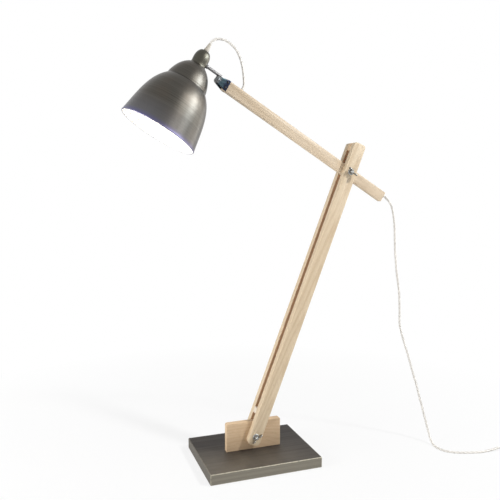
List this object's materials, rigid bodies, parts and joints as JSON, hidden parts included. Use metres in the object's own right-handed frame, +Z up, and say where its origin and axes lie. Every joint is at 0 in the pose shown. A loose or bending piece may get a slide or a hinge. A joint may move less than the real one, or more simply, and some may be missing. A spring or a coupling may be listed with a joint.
{
  "type": "floor lamp",
  "caption": "Swing-arm floor lamp: weighted flat base, slotted wooden post, wooden arm clamped by wing nuts, and a stepped bell shade that tilts on a knuckle.",
  "frame": {"origin": "centre of the base's underside, on the floor", "axes": "+Z up; +X along the base's long side, towards the tail of the arm; +Y to the back, along the pivots"},
  "size_m": [1.1629, 0.319, 1.0898],
  "materials": {
    "gunmetal": "dark brushed pewter",
    "beech": "pale matt varnish",
    "beech_foot": "pale matt varnish, warmer",
    "board": "raw board",
    "iron": "rough cast",
    "felt": "pressed felt",
    "zinc": "zinc plated",
    "chrome": "polished chrome",
    "blued_steel": "blued steel plate",
    "black_steel": "blackened",
    "holder": "moulded, heat resistant",
    "brass": "plain",
    "bulb_metal": "rolled thread",
    "bulb_glass": "frosted",
    "flex": "twisted pale flex",
    "white_plastic": "moulded",
    "tie": "moulded strap"
  },
  "bodies": {
    "base": {"base_cover": "gunmetal", "base_board": "board", "base_weight": "iron", "base_felt": "felt", "foot_plank": "beech_foot", "foot_screws": "zinc", "lead_lower": "flex", "switch_base": "white_plastic", "switch_cover": "white_plastic", "switch_screws": "zinc", "switch_sleeves": "white_plastic", "lead_coil": "flex", "coil_tie": "tie", "plug_body": "white_plastic", "plug_pins": "zinc"},
    "post": {"post_front_plank": "beech", "post_rear_plank": "beech", "post_top_block": "beech", "post_low_block": "beech", "lower_bolt": "zinc", "upper_bolt": "zinc", "lower_washer": "zinc", "upper_washer": "zinc"},
    "lower_nut": {"lower_wing_nut": "zinc"},
    "upper_nut": {"upper_wing_nut": "zinc"},
    "arm": {"arm_beam": "beech", "arm_cord": "flex", "arm_bracket": "blued_steel", "bracket_screws": "black_steel", "head_pivot_screw": "chrome", "head_pivot_nut": "zinc", "friction_washers": "zinc", "lead_upper": "flex", "head_cord": "flex"},
    "head": {"knuckle": "black_steel", "support_rod": "chrome", "rod_collar": "chrome", "rod_nut": "zinc", "shade_shell": "gunmetal", "shade_cap": "gunmetal", "lampholder": "holder", "holder_ring": "holder", "threaded_tube": "brass", "cord_gland": "white_plastic", "bulb_cap": "bulb_metal", "bulb_glass": "bulb_glass"},
    "rocker": {"switch_rocker": "white_plastic"}
  },
  "joints": [
    {"name": "post_tilt", "type": "hinge", "parent": "base", "child": "post", "pos_m": [0, 0, 0.066], "axis": [0, 1, 0], "range_deg": [-50, 8], "deforming": ["lead_lower"]},
    {"name": "arm_tilt", "type": "hinge", "parent": "post", "child": "arm", "pos_m": [0.27, 0, 0.76572], "axis": [0, 1, 0], "range_deg": [-55, 45], "deforming": ["lead_upper"]},
    {"name": "head_tilt", "type": "hinge", "parent": "arm", "child": "head", "pos_m": [-0.09323, 0, 0.9883], "axis": [0, 1, 0], "range_deg": [-45, 48], "deforming": ["head_cord"]},
    {"name": "lower_nut_turn", "type": "hinge", "parent": "post", "child": "lower_nut", "pos_m": [0, -0.03, 0.066], "axis": [0, -1, 0], "range_deg": [0, 360]},
    {"name": "upper_nut_turn", "type": "hinge", "parent": "post", "child": "upper_nut", "pos_m": [0.27, -0.03, 0.76572], "axis": [0, -1, 0], "range_deg": [0, 360]},
    {"name": "rocker_press", "type": "hinge", "parent": "base", "child": "rocker", "pos_m": [0.715, -0.19, 0.0166], "axis": [0, 1, 0], "range_deg": [-16, 0]}
  ]
}
